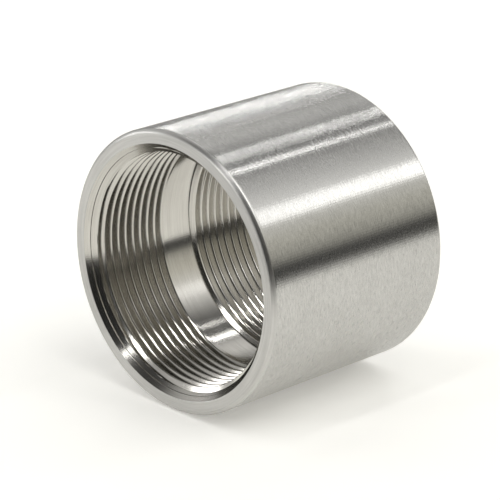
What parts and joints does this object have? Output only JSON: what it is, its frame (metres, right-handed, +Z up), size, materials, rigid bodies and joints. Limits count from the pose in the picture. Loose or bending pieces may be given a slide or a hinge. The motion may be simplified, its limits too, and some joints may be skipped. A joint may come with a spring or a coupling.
{
  "type": "pipe coupling",
  "caption": "Short round pipe coupling in stainless steel, with a right-hand parallel pipe thread in each end, a plain recess between them and a bevelled mouth.",
  "frame": {"origin": "centre of the coupling, on its axis, halfway between the end faces", "axes": "+Y along the axis, from the front mouth to the back mouth; +Z up with the coupling lying on its side; X across"},
  "size_m": [0.069, 0.056, 0.069],
  "materials": {
    "stainless_steel": "outside brushed around the axis, end faces fine turned, bore and threads bright machined"
  },
  "bodies": {
    "root": {"coupling_body": "stainless_steel"}
  },
  "joints": []
}
